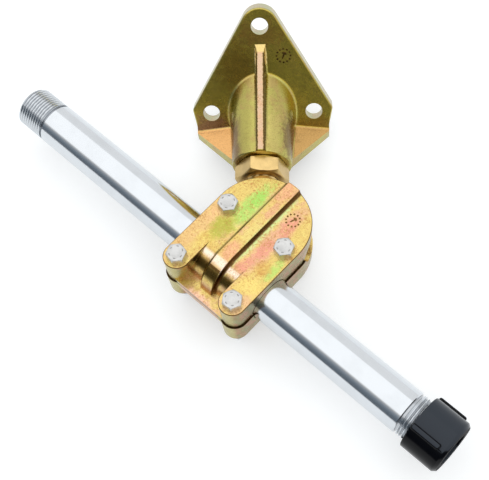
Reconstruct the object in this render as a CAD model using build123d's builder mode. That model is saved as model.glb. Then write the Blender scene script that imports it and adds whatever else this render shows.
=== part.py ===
from build123d import *
from math import cos, radians, sin, tan
import os

os.makedirs("parts", exist_ok=True)

# Steering cable support bracket, in millimetres.
# The origin is the centre of the flange's three bolt holes, on its flat back face.
# X runs along the steering tube, Z is square to the clamp's flat top.

# Bracket casting
boss_angle = 42.0  # boss axis to the clamp's long axis, seen from above
flange_lean = 33.5  # how far the flange leans back from square to the boss
hole_side = 60.0  # side of the equilateral triangle of bolt holes
hole_d = 9.8
flange_t = 8.0
lobe_r = 10.7  # flange edge around each hole
corner_u = 2.2  # widest corners, over the line of the two lower holes
corner_r = 3.5
waist_top_u = -9.3  # flange sides stand straight between these two heights
waist_low_u = -14.0
foot_x = 24.0
foot_u = -23.5
boss_start = 45.0  # ball centre to the near end of the boss
boss_end_r = 17.0
boss_draft = 3.4
flange_reach = 82.0  # ball centre to the flange face, along the boss axis
rib_w = 4.2
rib_low_z = 18.1  # crest height at the boss's near end
rib_top_u = 40.5  # where the rib's crest meets the flange
web_top_in = -6.0  # web top on the boss's centre plane, inside the boss
web_top_out = -9.8
web_bottom = -16.0
web_x = 38.9  # webs run out flush with the flange's sides
web_near_x = 12.4
web_near_p = 49.4
web_far_p = 74.4
root_r = 2.0  # cast rounding where boss, webs and flange meet
rim_r = 1.0
rib_root_r = 1.0

# Ball stud and its lock nut
ball_r = 10.5
neck_r = 7.0
stud_r = 9.0  # M18 shank
neck_len = 28.6
collar_at = 31.0
stud_in_boss = 28.0
nut_flats = 27.0
nut_face_r = 12.9  # round face left by the chamfer at each end
nut_len = 10.4
nut_turn = 8.0  # degrees the nut's flats stand off level
stud_chamfer = 1.5
bore_depth = 33.0
turn_clear = 0.05

# Clamp
ball_to_tube = 24.5
clamp_r = 28.0
lug_r = 7.7  # rounding around the two outer bolts
notch_y = 6.0  # the notch between the lugs ends under the barrel
bolt_dx = 40.6
bolt_y_ball_end = 21.0  # bolt rows, measured from the tube axis
bolt_y_tube_end = -19.0
top_h = 17.5  # flat top over the tube axis
bottom_h = 17.5
joint_gap = 0.6  # gap between the halves
wall_draft = 2.0
bridge_y = 25.8  # outer face of the thin bridge between the lugs
bridge_t = 2.6
lower_bridge_t = 4.2
clamp_rib_w = 8.4
clamp_rib_h = 3.0
clamp_rib_root_r = 2.4
clamp_rib_end_r = 1.0
lower_inset = -0.3  # lower half's outline inside the upper half's, or outside it if less than 0
lower_edge_r = 2.0
edge_r = 0.6
slot_half = 7.5
slot_swing = 63.5
hole_m6 = 3.3

# Clamp fasteners, M6
m6_r = 3.0
m6_clear = 0.05
head_flats = 10.0
head_h = 4.0
m6_nut_h = 5.0
bolt_past = 5.0  # bolt end past its nut

# Steering tube and its seal nut
tube_r = 12.5
tube_bore_r = 8.3
tube_clear = 0.05
mouth_r = 12.9  # relief in the clamp's bore where the tube comes out
mouth_depth = 1.0
thread_r = 12.25  # 14 threads to the inch
thread_len = 20.0
thread_chamfer = 1.0
relief_len = 1.4
relief_r = 11.2
shoulder_chamfer = 0.5
left_shoulder = -142.0  # ends of the plain part, from the clamp's centre
right_shoulder = 122.5
cap_near = 129.0
cap_len = 21.5
cap_r = 15.2
cap_rib_r = 17.2
cap_rib_w = 3.2
cap_rib_start = 0.3
cap_rib_edge_r = 0.8
cap_rib_len = 17.0
cap_rib_turn = 29.4  # first grip rib, degrees from +Z toward -Y
cap_chamfer_len = 1.9
cap_end_r = 13.8
cap_mouth_r = 8.6
cap_floor = 4.6
cap_clear = 0.05
seal_gap = 0.1
seal_r = 12.1
seal_lip_r = 8.3

# Directions of the boss, its level cross direction, and the flange
boss_dir = Vector(-sin(radians(boss_angle)), cos(radians(boss_angle)), 0)
side_dir = Vector(cos(radians(boss_angle)), sin(radians(boss_angle)), 0)
up = Vector(0, 0, 1)
flange_up = boss_dir * sin(radians(flange_lean)) + up * cos(radians(flange_lean))
flange_out = boss_dir * cos(radians(flange_lean)) - up * sin(radians(flange_lean))

# Places of the ball and of the clamp's centre on the tube axis
hole_row = hole_side * 3**0.5 / 6  # lower holes under the pattern's centre
face_point = flange_up * -hole_row - flange_out * flange_t
ball_at = face_point - boss_dir * flange_reach
clamp_at = ball_at - Vector(0, ball_to_tube, 0)

flange_back = Plane(origin=(0, 0, 0), x_dir=side_dir, z_dir=flange_out * -1)
hole_line = Plane(origin=flange_up * -hole_row, x_dir=side_dir, z_dir=flange_out * -1)
boss_end = Plane(origin=ball_at + boss_dir * boss_start, x_dir=side_dir, z_dir=boss_dir)
boss_side = Plane(origin=ball_at, x_dir=boss_dir, z_dir=side_dir)
boss_level = Plane(origin=ball_at, x_dir=side_dir, z_dir=up)
boss_cross = Plane(origin=ball_at + boss_dir * boss_start, x_dir=side_dir, z_dir=boss_dir * -1)
clamp_level = Plane(origin=clamp_at, x_dir=(1, 0, 0), z_dir=(0, 0, 1))
tube_side = Plane(origin=clamp_at, x_dir=(1, 0, 0), z_dir=(0, -1, 0))
tube_cross = Plane(origin=clamp_at, x_dir=(0, 1, 0), z_dir=(1, 0, 0))


def beside(edge):
    """Distance of an edge's middle from the boss axis, to the side."""
    return (edge.center() - ball_at).dot(side_dir)


def along(edge):
    """Distance of an edge's middle from the ball, along the boss."""
    return (edge.center() - ball_at).dot(boss_dir)


def behind_face(edge):
    """Distance of an edge's middle behind the flange's front face."""
    return (edge.center() - face_point).dot(flange_out)


def hexagon_solid(plane, flats, length, turn, face_r, both_ends):
    """A hexagon prism with its corners chamfered to a round face, at the far end or at both."""
    with BuildSketch(plane) as flat_hex:
        RegularPolygon(radius=flats / 2, side_count=6, major_radius=False, rotation=turn)
    prism = extrude(flat_hex.sketch, amount=length, mode=Mode.PRIVATE)
    wide = flats / 3**0.5 + 0.5
    run = (wide - face_r) * tan(radians(30))
    near_r = face_r if both_ends else wide
    near_run = run if both_ends else length / 2
    with BuildSketch(Plane(origin=plane.origin, x_dir=plane.z_dir, z_dir=plane.x_dir)) as half:
        with BuildLine():
            Polyline(
                (0, 0), (0, near_r), (near_run, wide), (length - run, wide), (length, face_r),
                (length, 0), close=True,
            )
        make_face()
    turned = revolve(half.sketch, axis=Axis(plane.origin, plane.z_dir), mode=Mode.PRIVATE)
    return prism & turned


def clamp_plan(inset):
    """Plan of a clamp half: round end over the ball, straight sides, two lugs, the notch between."""
    lug_x = bolt_dx / 2
    lug = lug_r - inset
    side = lug_x + lug
    with BuildSketch() as plan:
        with BuildLine():
            CenterArc((0, ball_to_tube), side, 0, 180)
            Line((-side, ball_to_tube), (-side, bolt_y_tube_end))
            CenterArc((-lug_x, bolt_y_tube_end), lug, 180, 180)
            Line((lug - lug_x, bolt_y_tube_end), (lug - lug_x, notch_y))
            Line((lug - lug_x, notch_y), (lug_x - lug, notch_y))
            Line((lug_x - lug, notch_y), (lug_x - lug, bolt_y_tube_end))
            CenterArc((lug_x, bolt_y_tube_end), lug, 180, 180)
            Line((side, bolt_y_tube_end), (side, ball_to_tube))
        make_face()
    return plan.sketch


def clamp_hollows():
    """What both clamp halves are hollowed by: tube bore, ball socket, stud slot and bolt holes."""
    with BuildPart() as hollow:
        with BuildSketch(tube_cross):
            Circle(tube_r + tube_clear)
        extrude(amount=60, both=True)
        for side in (-1, 1):
            with BuildSketch(tube_cross.offset(side * (bolt_dx / 2 + lug_r - mouth_depth))):
                Circle(mouth_r)
            extrude(amount=side * 30)
        with Locations(ball_at):
            Sphere(ball_r + turn_clear)
        # the slot lets the stud swing from one end to the other
        reach = clamp_r * 1.6
        with BuildSketch(Plane(origin=ball_at, x_dir=(0, 1, 0), z_dir=(0, 0, 1))):
            with BuildLine():
                Line((0, 0), (reach * cos(radians(slot_swing)), -reach * sin(radians(slot_swing))))
                CenterArc((0, 0), reach, -slot_swing, 2 * slot_swing)
                Line((reach * cos(radians(slot_swing)), reach * sin(radians(slot_swing))), (0, 0))
            make_face()
        extrude(amount=slot_half, both=True)
        for turn in (-slot_swing, slot_swing):
            direction = Vector(-sin(radians(turn)), cos(radians(turn)), 0)
            with BuildSketch(Plane(origin=ball_at, z_dir=direction)):
                Circle(slot_half)
            extrude(amount=reach)
        with BuildSketch(clamp_level.offset(-30)):
            with Locations(*bolt_places):
                Circle(hole_m6)
        extrude(amount=60)
    return hollow.part


bolt_places = [
    (-bolt_dx / 2, bolt_y_ball_end),
    (-bolt_dx / 2, bolt_y_tube_end),
    (bolt_dx / 2, bolt_y_ball_end),
    (bolt_dx / 2, bolt_y_tube_end),
]
bolt_turns = [-12, -12, -12, 5]

# Mounting bracket: flange, boss, side webs and the long rib, one casting
with BuildPart() as mounting_bracket:
    # side webs: their cross section run along the boss, cut to their plan
    with BuildSketch(boss_cross):
        with BuildLine():
            Polyline(
                (-web_x - 2, web_bottom), (-web_x - 2, web_top_out), (0, web_top_in),
                (web_x + 2, web_top_out), (web_x + 2, web_bottom), close=True,
            )
        make_face()
    extrude(amount=-60)
    with BuildSketch(boss_level.offset(-40)):
        with BuildLine():
            Polyline(
                (-web_x, web_far_p + 30), (-web_x, web_far_p), (-web_near_x, web_near_p),
                (web_near_x, web_near_p), (web_x, web_far_p), (web_x, web_far_p + 30), close=True,
            )
        make_face()
    extrude(amount=60, mode=Mode.INTERSECT)
    with BuildSketch(boss_end):
        Circle(boss_end_r)
    extrude(amount=70, taper=-boss_draft)
    # the flange's straight sides are tangent to the rounding around its top hole
    apex_u = hole_side * cos(radians(30)) + lobe_r / sin(radians(30))
    corner_x = (apex_u - corner_u) * tan(radians(30))
    with BuildSketch(hole_line):
        with BuildLine():
            Polyline(
                (0, apex_u), (-corner_x, corner_u), (-web_x, waist_top_u), (-web_x, waist_low_u),
                (-foot_x, foot_u), (foot_x, foot_u), (web_x, waist_low_u), (web_x, waist_top_u),
                (corner_x, corner_u), close=True,
            )
        flange_face = make_face()
        fillet(flange_face.vertices().sort_by(Axis.Y)[-1], lobe_r)
        fillet([v for v in vertices() if abs(abs(v.X) - corner_x) < 0.01], corner_r)
    extrude(amount=flange_t)
    split(bisect_by=flange_back, keep=Keep.TOP)
    # cast rounding where boss, webs and flange run into each other
    face_edges = [e for e in edges() if abs(behind_face(e)) < 0.01]
    boss_root = [e for e in face_edges if e.geom_type == GeomType.ELLIPSE and e.center().Z > ball_at.Z]
    web_line = [
        e for e in face_edges
        if e.geom_type == GeomType.LINE and -9.5 < e.center().Z - ball_at.Z < -6 and abs(beside(e)) < 36
    ]
    web_side = [
        e for e in edges().filter_by(GeomType.HYPERBOLA) if -9.5 < e.center().Z - ball_at.Z < -6
    ]
    fillet(boss_root + web_line + web_side, root_r)
    # the long rib rises from the boss's near end to the flange
    crest_p = flange_reach + rib_top_u * sin(radians(flange_lean))
    crest_z = rib_top_u * cos(radians(flange_lean))
    crest_slope = (crest_z - rib_low_z) / (crest_p - boss_start)
    with BuildSketch(boss_side):
        with BuildLine():
            Polyline(
                (boss_start, rib_low_z), (crest_p + 3, crest_z + 3 * crest_slope),
                (flange_reach + 3, 0), (boss_start, 0), close=True,
            )
        make_face()
    extrude(amount=rib_w / 2, both=True)
    rib_foot = [
        e for e in edges()
        if abs(abs(beside(e)) - rib_w / 2) < 0.05 and e.length > 0.5
        and e.center().Z - ball_at.Z > boss_end_r - 0.5 and along(e) > boss_start + 0.1
        and abs(e.center().Z - ball_at.Z - rib_low_z - crest_slope * (along(e) - boss_start)) > 0.3
    ]
    rib_end = [e for e in edges() if abs(beside(e)) < 0.02 and abs(along(e) - crest_p) < 0.1]
    fillet(rib_foot + rib_end, rib_root_r)
    rim = [e for e in edges().filter_by(GeomType.CIRCLE) if abs(along(e) - boss_start) < 0.01]
    outline = [
        e for e in edges()
        if abs(behind_face(e)) < 0.01 and abs(beside(e)) > 24 and e.center().Z - ball_at.Z > -4
        or abs(behind_face(e)) < 0.01 and e.center().Z - ball_at.Z > 40
    ]
    fillet(rim + outline, rim_r)
    # bolt holes and the blind bore for the stud
    with BuildSketch(hole_line):
        with Locations((-hole_side / 2, 0), (hole_side / 2, 0), (0, hole_side * cos(radians(30)))):
            Circle(hole_d / 2)
    extrude(amount=flange_t, mode=Mode.SUBTRACT)
    with BuildSketch(boss_end):
        Circle(stud_r + turn_clear)
    extrude(amount=bore_depth, mode=Mode.SUBTRACT)
mounting_bracket.part.label = "mounting_bracket"
export_step(mounting_bracket.part, "parts/mounting_bracket.step")

# Ball stud: ball, neck, and the threaded shank that screws into the boss
with BuildPart() as ball_stud:
    neck_start = (ball_r**2 - neck_r**2) ** 0.5
    shank_end = boss_start + stud_in_boss
    with BuildSketch(boss_side):
        with BuildLine():
            ThreePointArc((-ball_r, 0), (0, ball_r), (neck_start, neck_r))
            Polyline(
                (neck_start, neck_r), (neck_len, neck_r), (collar_at, stud_r),
                (shank_end - stud_chamfer, stud_r), (shank_end, stud_r - stud_chamfer),
                (shank_end, 0), (-ball_r, 0),
            )
        make_face()
    revolve(axis=Axis(ball_at, boss_dir))
ball_stud.part.label = "ball_stud"
export_step(ball_stud.part, "parts/ball_stud.step")

# Lock nut, tight against the end of the boss
with BuildPart() as lock_nut:
    nut_start = Plane(
        origin=ball_at + boss_dir * (boss_start - nut_len), x_dir=side_dir, z_dir=boss_dir
    )
    add(hexagon_solid(nut_start, nut_flats, nut_len, nut_turn, nut_face_r, True))
    with BuildSketch(nut_start):
        Circle(stud_r + turn_clear)
    extrude(amount=nut_len, mode=Mode.SUBTRACT)
lock_nut.part.label = "lock_nut"
export_step(lock_nut.part, "parts/lock_nut.step")

# Upper clamp half, with the rib from the round end down over the tube
half_h = top_h - joint_gap / 2
rib_top = top_h + clamp_rib_h
notch_x = bolt_dx / 2 - lug_r
with BuildPart() as clamp_upper_half:
    with BuildSketch(clamp_level.offset(rib_top)):
        add(clamp_plan(-clamp_rib_h * tan(radians(wall_draft))))
    extrude(amount=-half_h - clamp_rib_h, taper=wall_draft)
    with BuildSketch(clamp_level.offset(top_h)):
        with Locations((-clamp_rib_w / 2 - clamp_r, ball_to_tube), (clamp_rib_w / 2 + clamp_r, ball_to_tube)):
            Rectangle(2 * clamp_r, 6 * clamp_r)
    extrude(amount=clamp_rib_h + 1, mode=Mode.SUBTRACT)
    # barrel over the tube between the lugs
    with BuildSketch(tube_cross):
        with BuildLine():
            Line((0, top_h), (notch_y + 8, top_h))
            Line((notch_y + 8, top_h), (notch_y + 8, joint_gap / 2))
            Line((notch_y + 8, joint_gap / 2), (-(top_h**2 - joint_gap**2 / 4) ** 0.5, joint_gap / 2))
            RadiusArc((-(top_h**2 - joint_gap**2 / 4) ** 0.5, joint_gap / 2), (0, top_h), top_h)
        make_face()
    extrude(amount=notch_x + 1, both=True)
    # the rib runs on down over the barrel to the bridge
    foot_z = joint_gap / 2 + 1
    with BuildSketch(tube_cross):
        with BuildLine():
            Line((0, rib_top), (notch_y + 8, rib_top))
            Line((notch_y + 8, rib_top), (notch_y + 8, foot_z))
            Line((notch_y + 8, foot_z), (-(rib_top**2 - foot_z**2) ** 0.5, foot_z))
            RadiusArc((-(rib_top**2 - foot_z**2) ** 0.5, foot_z), (0, rib_top), rib_top)
        make_face()
    extrude(amount=clamp_rib_w / 2, both=True)
    with BuildSketch(clamp_level.offset(joint_gap / 2)):
        with Locations((0, -bridge_y / 2 - 5)):
            Rectangle(bolt_dx, bridge_y - 10)
    extrude(amount=bridge_t)
    rib_root = [
        e for e in edges()
        if abs(abs(e.center().X - clamp_at.X) - clamp_rib_w / 2) < 0.02
        and (
            e.geom_type == GeomType.LINE and abs(e.center().Z - clamp_at.Z - top_h) < 0.01
            or e.geom_type == GeomType.CIRCLE and abs(e.radius - top_h) < 0.01
        )
    ]
    fillet(rib_root, clamp_rib_root_r)
    top_rim = [
        e for e in edges()
        if abs(e.center().Z - clamp_at.Z - top_h) < 0.01
        and (abs(e.center().X - clamp_at.X) > 15 or e.center().Y > clamp_at.Y + 40)
    ]
    fillet(top_rim, edge_r)
    rib_end = [
        e for e in edges().filter_by(GeomType.CIRCLE)
        if abs(e.center().Z - clamp_at.Z - rib_top) < 0.01
    ]
    fillet(rib_end, clamp_rib_end_r)
    add(clamp_hollows(), mode=Mode.SUBTRACT)
clamp_upper_half.part.label = "clamp_upper_half"
export_step(clamp_upper_half.part, "parts/clamp_upper_half.step")

# Lower clamp half: the same plan a little smaller, a plainer casting
with BuildPart() as clamp_lower_half:
    with BuildSketch(clamp_level.offset(-joint_gap / 2)):
        add(clamp_plan(lower_inset))
    extrude(amount=-(bottom_h - joint_gap / 2), taper=wall_draft)
    bottom_rim = [
        e for e in edges()
        if abs(e.center().Z - clamp_at.Z + bottom_h) < 0.01 and abs(e.center().Y - clamp_at.Y - notch_y) > 3
    ]
    fillet(bottom_rim, lower_edge_r)
    with BuildSketch(tube_cross):
        Circle(top_h)
        with Locations((0, -top_h - joint_gap / 2)):
            Rectangle(2 * top_h, 2 * top_h, mode=Mode.INTERSECT)
    extrude(amount=notch_x + 3, both=True)
    with BuildSketch(clamp_level.offset(-joint_gap / 2)):
        with Locations((0, -bridge_y / 2 - 5)):
            Rectangle(bolt_dx, bridge_y - 10)
    extrude(amount=-lower_bridge_t)
    add(clamp_hollows(), mode=Mode.SUBTRACT)
clamp_lower_half.part.label = "clamp_lower_half"
export_step(clamp_lower_half.part, "parts/clamp_lower_half.step")


def clamp_bolt(place, turn):
    """M6 hexagon bolt, head on the clamp's flat top, standing in the open part."""
    seat = Plane(origin=clamp_at + Vector(place[0], place[1], top_h), x_dir=(1, 0, 0), z_dir=(0, 0, 1))
    add(hexagon_solid(seat, head_flats, head_h, turn, head_flats / 2 * 0.95, False))
    with BuildSketch(seat) as shank:
        Circle(m6_r)
    extrude(shank.sketch, amount=-(top_h + bottom_h + m6_nut_h + bolt_past))
    chamfer(edges().sort_by(Axis.Z)[0], 0.6)


def clamp_nut(place, turn):
    """M6 hexagon nut under the clamp, in the open part."""
    seat = Plane(
        origin=clamp_at + Vector(place[0], place[1], -bottom_h), x_dir=(1, 0, 0), z_dir=(0, 0, -1)
    )
    add(hexagon_solid(seat, head_flats, m6_nut_h, turn, head_flats / 2 * 0.95, False))
    with BuildSketch(seat) as bore:
        Circle(m6_r + m6_clear)
    extrude(bore.sketch, amount=m6_nut_h, mode=Mode.SUBTRACT)


# Clamp bolts, numbered along the left side and then the right side, each from the round end
with BuildPart() as clamp_bolt_1:
    clamp_bolt(bolt_places[0], bolt_turns[0])
clamp_bolt_1.part.label = "clamp_bolt_1"
export_step(clamp_bolt_1.part, "parts/clamp_bolt_1.step")

with BuildPart() as clamp_bolt_2:
    clamp_bolt(bolt_places[1], bolt_turns[1])
clamp_bolt_2.part.label = "clamp_bolt_2"
export_step(clamp_bolt_2.part, "parts/clamp_bolt_2.step")

with BuildPart() as clamp_bolt_3:
    clamp_bolt(bolt_places[2], bolt_turns[2])
clamp_bolt_3.part.label = "clamp_bolt_3"
export_step(clamp_bolt_3.part, "parts/clamp_bolt_3.step")

with BuildPart() as clamp_bolt_4:
    clamp_bolt(bolt_places[3], bolt_turns[3])
clamp_bolt_4.part.label = "clamp_bolt_4"
export_step(clamp_bolt_4.part, "parts/clamp_bolt_4.step")

# Nuts under the clamp, numbered as the bolts
with BuildPart() as clamp_nut_1:
    clamp_nut(bolt_places[0], 10)
clamp_nut_1.part.label = "clamp_nut_1"
export_step(clamp_nut_1.part, "parts/clamp_nut_1.step")

with BuildPart() as clamp_nut_2:
    clamp_nut(bolt_places[1], 25)
clamp_nut_2.part.label = "clamp_nut_2"
export_step(clamp_nut_2.part, "parts/clamp_nut_2.step")

with BuildPart() as clamp_nut_3:
    clamp_nut(bolt_places[2], 0)
clamp_nut_3.part.label = "clamp_nut_3"
export_step(clamp_nut_3.part, "parts/clamp_nut_3.step")

with BuildPart() as clamp_nut_4:
    clamp_nut(bolt_places[3], 40)
clamp_nut_4.part.label = "clamp_nut_4"
export_step(clamp_nut_4.part, "parts/clamp_nut_4.step")

# Steering tube: polished tube, turned down and threaded at both ends
left_end = left_shoulder - thread_len
right_end = right_shoulder + thread_len
with BuildPart() as steering_tube:
    with BuildSketch(tube_side):
        with BuildLine():
            Polyline(
                (left_end, tube_bore_r), (left_end, thread_r - thread_chamfer),
                (left_end + thread_chamfer, thread_r), (left_shoulder - relief_len, thread_r),
                (left_shoulder - relief_len, relief_r), (left_shoulder, relief_r),
                (left_shoulder, tube_r - shoulder_chamfer), (left_shoulder + shoulder_chamfer, tube_r),
                (right_shoulder - shoulder_chamfer, tube_r), (right_shoulder, tube_r - shoulder_chamfer),
                (right_shoulder, relief_r), (right_shoulder + relief_len, relief_r),
                (right_shoulder + relief_len, thread_r), (right_end - thread_chamfer, thread_r),
                (right_end, thread_r - thread_chamfer), (right_end, tube_bore_r), close=True,
            )
        make_face()
    revolve(axis=Axis(clamp_at, (1, 0, 0)))
steering_tube.part.label = "steering_tube"
export_step(steering_tube.part, "parts/steering_tube.step")

# Seal nut with three grip ribs, screwed over the tube's right thread
cap_end = cap_near + cap_len
cap_axis = Plane(origin=clamp_at + Vector(cap_near, 0, 0), x_dir=(0, 0, 1), z_dir=(1, 0, 0))
with BuildPart() as seal_nut:
    with BuildSketch(tube_side):
        with BuildLine():
            Polyline(
                (cap_near, 0), (cap_near, cap_r - edge_r), (cap_near + edge_r, cap_r),
                (cap_end - cap_chamfer_len, cap_r), (cap_end, cap_end_r), (cap_end, 0), close=True,
            )
        make_face()
    revolve(axis=Axis(clamp_at, (1, 0, 0)))
    with BuildSketch(cap_axis.offset(cap_rib_start)):
        with PolarLocations(0, 3, start_angle=cap_rib_turn):
            with Locations((cap_rib_r / 2, 0)):
                Rectangle(cap_rib_r, cap_rib_w)
    extrude(amount=cap_rib_len)
    grip_edges = [
        e for e in edges().filter_by(GeomType.LINE) if abs(e.length - cap_rib_len) < 0.01
    ]
    fillet(grip_edges, cap_rib_edge_r)
    with BuildSketch(cap_axis):
        Circle(thread_r + cap_clear)
    extrude(amount=cap_len - cap_floor, mode=Mode.SUBTRACT)
    with BuildSketch(cap_axis):
        Circle(cap_mouth_r)
    extrude(amount=cap_len, mode=Mode.SUBTRACT)
seal_nut.part.label = "seal_nut"
export_step(seal_nut.part, "parts/seal_nut.step")

# Rod wiper: the rubber ring held between the tube's end and the seal nut's floor
with BuildPart() as rod_wiper:
    with BuildSketch(tube_side):
        with BuildLine():
            Polyline(
                (right_end + seal_gap, seal_lip_r), (right_end + seal_gap, seal_r),
                (cap_end - cap_floor - seal_gap, seal_r), (cap_end - cap_floor - seal_gap, seal_lip_r),
                close=True,
            )
        make_face()
    revolve(axis=Axis(clamp_at, (1, 0, 0)))
rod_wiper.part.label = "rod_wiper"
export_step(rod_wiper.part, "parts/rod_wiper.step")
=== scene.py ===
from math import atan2, cos, radians, sin, tan, pi

import bpy
import numpy as np
from bpy.props import FloatProperty, FloatVectorProperty, IntProperty, PointerProperty
from bpy.types import NodeSocket, Operator, Panel, PropertyGroup
from mathutils import Matrix, Vector


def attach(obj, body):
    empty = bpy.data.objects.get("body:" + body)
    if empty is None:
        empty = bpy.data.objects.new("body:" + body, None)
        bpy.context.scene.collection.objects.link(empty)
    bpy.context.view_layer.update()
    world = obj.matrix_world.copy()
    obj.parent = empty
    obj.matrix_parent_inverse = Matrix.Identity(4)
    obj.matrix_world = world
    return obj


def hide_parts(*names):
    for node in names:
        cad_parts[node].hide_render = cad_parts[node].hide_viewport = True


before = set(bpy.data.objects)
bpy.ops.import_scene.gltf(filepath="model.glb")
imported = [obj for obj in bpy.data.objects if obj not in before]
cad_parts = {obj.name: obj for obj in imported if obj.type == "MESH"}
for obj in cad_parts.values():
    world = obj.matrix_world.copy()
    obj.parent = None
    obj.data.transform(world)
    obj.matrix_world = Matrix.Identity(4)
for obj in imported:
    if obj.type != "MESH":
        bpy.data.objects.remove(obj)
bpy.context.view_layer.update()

bl_info = {
    "name": "Steering cable support bracket",
    "version": (1, 1, 0),
    "blender": (4, 5, 0),
    "location": "View3D > Sidebar > Bracket",
    "description": "Dresses a steering cable bracket: plated castings, polished tube, black seal nut",
    "category": "Object",
}

MM = 0.001

# Places and directions, in metres, as in the part's source
BOSS_ANGLE = radians(42.0)
FLANGE_LEAN = radians(33.5)
BOSS_DIR = np.array([-sin(BOSS_ANGLE), cos(BOSS_ANGLE), 0.0])
SIDE_DIR = np.array([cos(BOSS_ANGLE), sin(BOSS_ANGLE), 0.0])
ALONG = np.array([1.0, 0.0, 0.0])
ACROSS = np.array([0.0, 1.0, 0.0])
UP = np.array([0.0, 0.0, 1.0])
FLANGE_UP = BOSS_DIR * sin(FLANGE_LEAN) + UP * cos(FLANGE_LEAN)
FLANGE_OUT = BOSS_DIR * cos(FLANGE_LEAN) - UP * sin(FLANGE_LEAN)
HOLE_SPACING = 60 * MM
FLANGE_THICKNESS = 8 * MM
FLANGE_REACH = 82 * MM
BALL_TO_TUBE = 24.5 * MM
# Where the boss's axis meets the flange's front face, then the ball and the tube in the clamp
FACE_POINT = -FLANGE_UP * HOLE_SPACING * 3**0.5 / 6 - FLANGE_OUT * FLANGE_THICKNESS
BALL_AT = FACE_POINT - BOSS_DIR * FLANGE_REACH
CLAMP_AT = BALL_AT - ACROSS * BALL_TO_TUBE
CLAMP_TOP = 17.5 * MM
CLAMP_FOOT = -17.5 * MM
BOSS_START = 45 * MM

# Clamp bolts from the clamp's centre: x, y, turn of the head and of the nut in degrees
BOLTS = (
    (-20.3 * MM, 21 * MM, -12, 10),
    (-20.3 * MM, -19 * MM, -12, 25),
    (20.3 * MM, 21 * MM, -12, 0),
    (20.3 * MM, -19 * MM, 5, 40),
)
# Radius of the round face of such a head or nut, as a share of its width over flats
FACE_SHARE = 0.475
# Turn of one corner of the lock nut from SIDE_DIR, in degrees
LOCK_NUT_TURN = 8.0
# Middle and radius of a date ring: from the clamp's centre, and from FACE_POINT on the flange
CLAMP_RING = (12.4 * MM, 37 * MM, 3.8 * MM)
FLANGE_RING = (13.1 * MM, 34.4 * MM, 4.0 * MM)
# Where the wiper ring starts, along X from the clamp
WIPER_START = 142.6 * MM

# Where the photograph was taken from: place from the clamp; elevation, azimuth and roll
CAMERA_PLACE = (0.18855, -0.14720, 0.50753)
CAMERA_ANGLES = (radians(63.36), radians(49.84), radians(-7.87))


# Mesh helpers
def grid_faces(rows, cols, wrap_rows):
    """Quads of a grid whose columns close on themselves, and its rows too where asked."""
    i = np.arange(rows if wrap_rows else rows - 1)
    j = np.arange(cols)
    a, b = np.meshgrid(i, j, indexing="ij")
    a2, b2 = (a + 1) % rows, (b + 1) % cols
    corners = (a * cols + b, a * cols + b2, a2 * cols + b2, a2 * cols + b)
    return np.stack(corners, -1).reshape(-1, 4)


def ring_mesh(name, points):
    """A closed surface whose rows and columns both close on themselves, such as a tube's skin."""
    rows, cols = points.shape[:2]
    mesh = bpy.data.meshes.new(name)
    mesh.from_pydata(points.reshape(-1, 3), [], grid_faces(rows, cols, True).tolist())
    mesh.update()
    return mesh


def capped_mesh(name, points):
    """A closed surface of rings, with a fan to a middle point over the first and the last ring.

    points may hold several such surfaces of one grid size, stacked along a first axis.
    """
    points = points[None] if points.ndim == 3 else points
    count, rows, cols = points.shape[:3]
    quads = grid_faces(rows, cols, False)
    k = np.arange(cols)
    k2 = (k + 1) % cols
    first, last, end = rows * cols, rows * cols + 1, (rows - 1) * cols
    near = np.stack([np.full(cols, first), k2, k], -1)
    far = np.stack([np.full(cols, last), end + k, end + k2], -1)
    fans = np.vstack([near, far])
    middles = (points[:, 0].mean(1)[:, None], points[:, -1].mean(1)[:, None])
    verts = np.concatenate([points.reshape(count, -1, 3), *middles], 1)
    shift = (np.arange(count) * verts.shape[1])[:, None, None]
    faces = (quads + shift).reshape(-1, 4).tolist() + (fans + shift).reshape(-1, 3).tolist()
    mesh = bpy.data.meshes.new(name)
    mesh.from_pydata(verts.reshape(-1, 3), [], faces)
    mesh.update()
    return mesh


def add_object(name, data):
    """An object in the scene's own collection."""
    obj = bpy.data.objects.new(name, data)
    bpy.context.scene.collection.objects.link(obj)
    return obj


def add_piece(mesh, body, material, smooth_angle=40, stands_for=None):
    """Puts a finished mesh into the scene as a piece that rides on a CAD body."""
    obj = add_object(mesh.name, mesh)
    mesh.materials.append(material)
    mesh.shade_smooth()
    bpy.ops.object.select_all(action="DESELECT")
    bpy.context.view_layer.objects.active = obj
    obj.select_set(True)
    bpy.ops.object.shade_smooth_by_angle(angle=radians(smooth_angle), keep_sharp_edges=True)
    obj.select_set(False)
    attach(obj, body)
    if stands_for:
        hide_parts(stands_for)


def turned(radius, along, angles, origin, axis, side):
    """Points of a turned body: origin + axis * along + radius * (side turned by the angle)."""
    other = np.cross(axis, side)
    ring = np.cos(angles)[None, :, None] * side + np.sin(angles)[None, :, None] * other
    return origin + along[:, :, None] * axis + radius[:, :, None] * ring


def full_turn(count):
    """Angles all the way round."""
    return np.linspace(0, 2 * pi, count, endpoint=False)


def spread(profile, count):
    """A profile of (along, radius) rows, repeated for each of count angles: along, then radius."""
    rows = np.array(profile, dtype=float)
    return np.repeat(rows[:, :1], count, 1), np.repeat(rows[:, 1:2], count, 1)


def thread_groove(along, angles, pitch, depth, start, end):
    """How far a screw thread's groove lies under its crest.

    The phase, along / pitch - angle / 2 pi, gives a V between narrow flat crests. It fades in and
    out over half a pitch at the ends of the threaded length.
    """
    phase = np.mod(along / pitch - angles / (2 * pi), 1.0)
    valley = np.clip(1.12 - 1.30 * np.abs(2 * phase - 1), 0.0, 1.0)
    fade = pitch / 2
    ends = np.clip((along - start) / fade, 0, 1) * np.clip((end - along) / fade, 0, 1)
    return depth * valley * ends


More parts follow.
